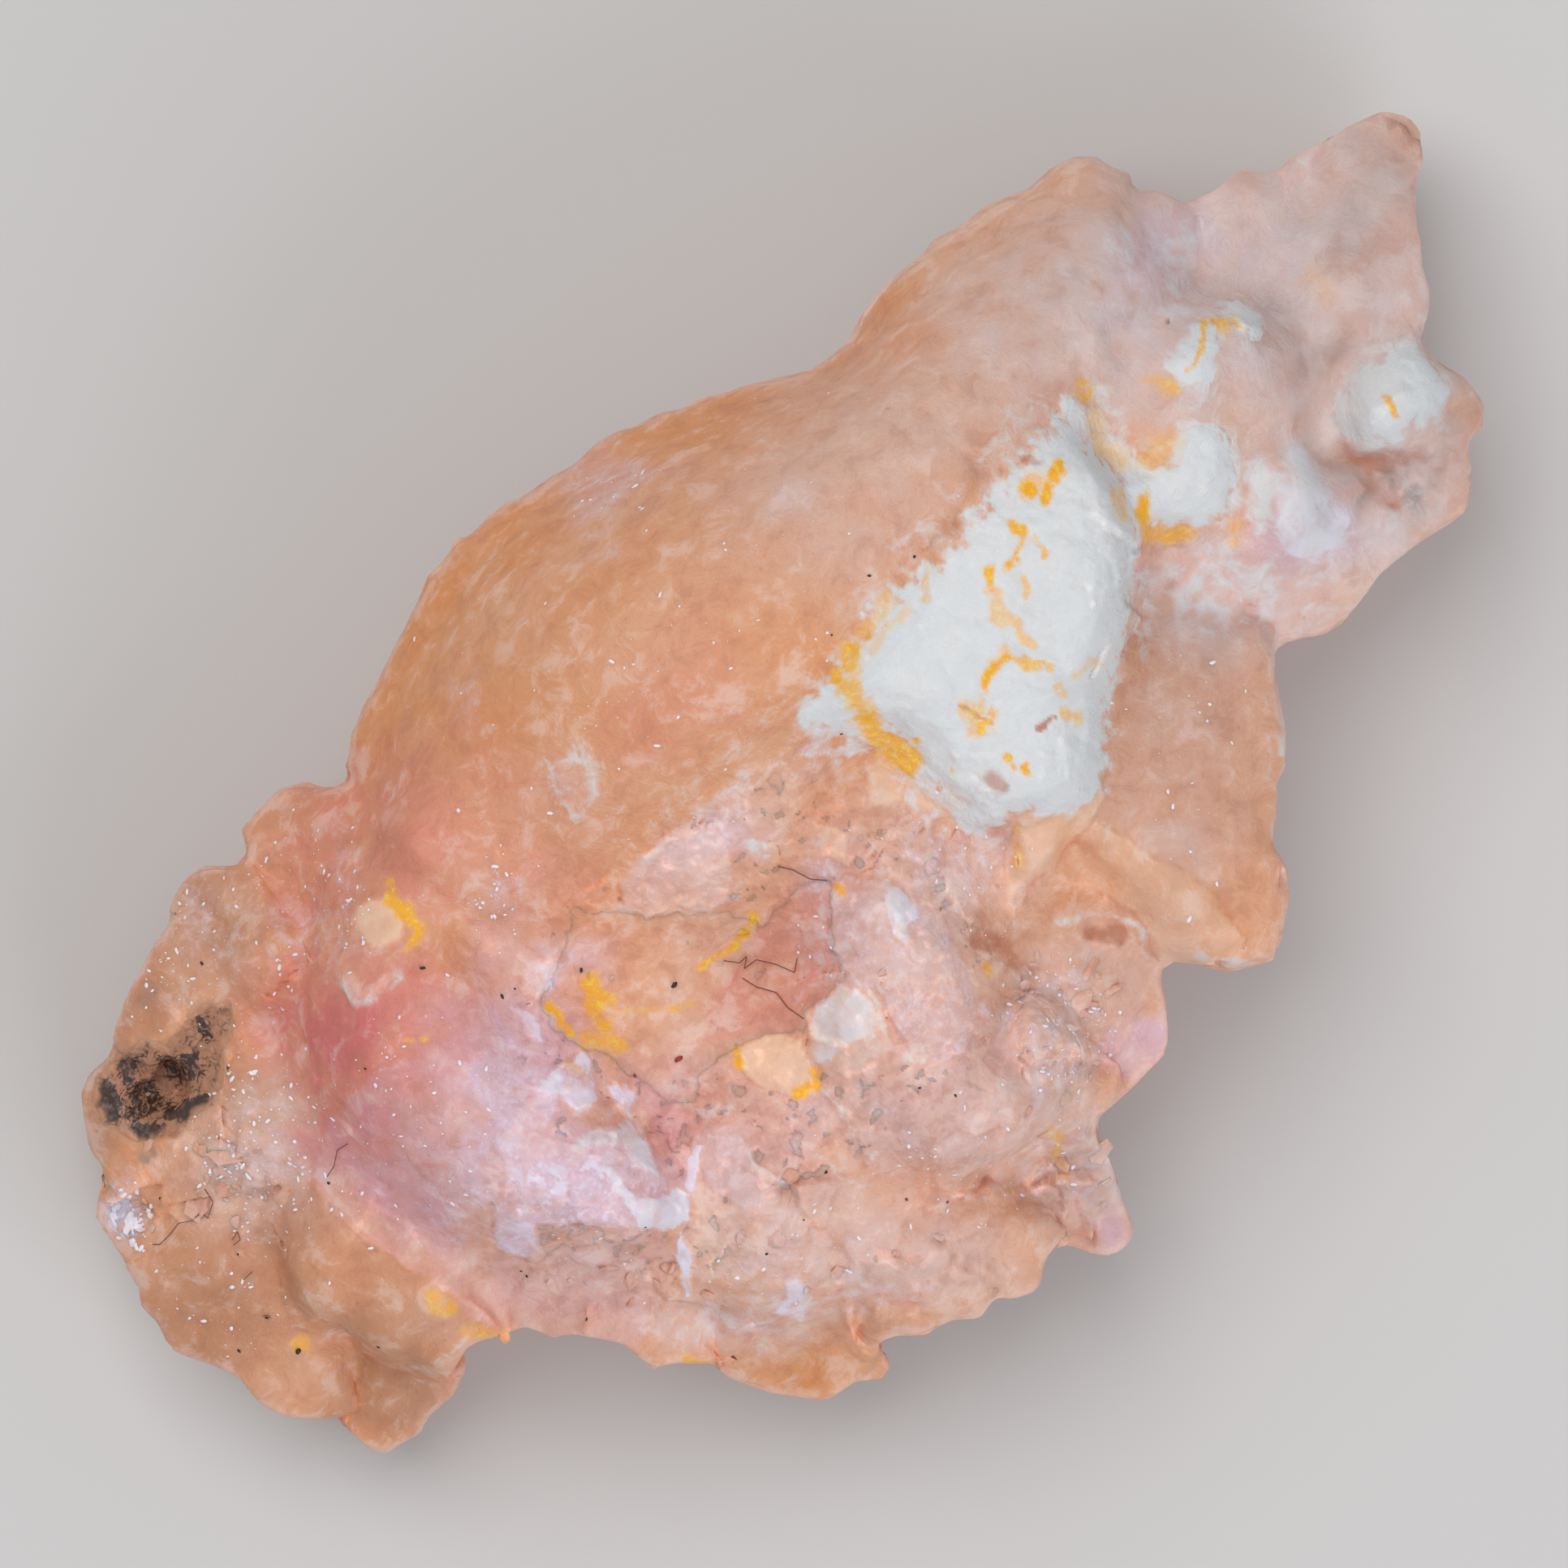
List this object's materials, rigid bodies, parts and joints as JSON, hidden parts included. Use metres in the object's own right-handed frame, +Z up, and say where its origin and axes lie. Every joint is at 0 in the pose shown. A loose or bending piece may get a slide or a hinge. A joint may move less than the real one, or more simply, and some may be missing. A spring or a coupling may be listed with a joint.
{
  "type": "rose quartz cluster",
  "caption": "Natural rose quartz crystal cluster with a smooth dome, an open recess and a white crust, lying on a flat underside.",
  "frame": {"origin": "under the middle of the cluster's box, on the flat underside that it rests on", "axes": "+X along the cluster's length towards its rough pointed end, +Y towards the smooth dome, +Z up from the flat underside"},
  "size_m": [0.043, 0.0239, 0.0141],
  "materials": {
    "rose_quartz": "translucent rose quartz with a glassy, partly frosted surface",
    "white_crust": "opaque white crust with yellow and orange stains"
  },
  "bodies": {
    "root": {"rose_quartz_cluster": "rose_quartz"}
  },
  "joints": []
}
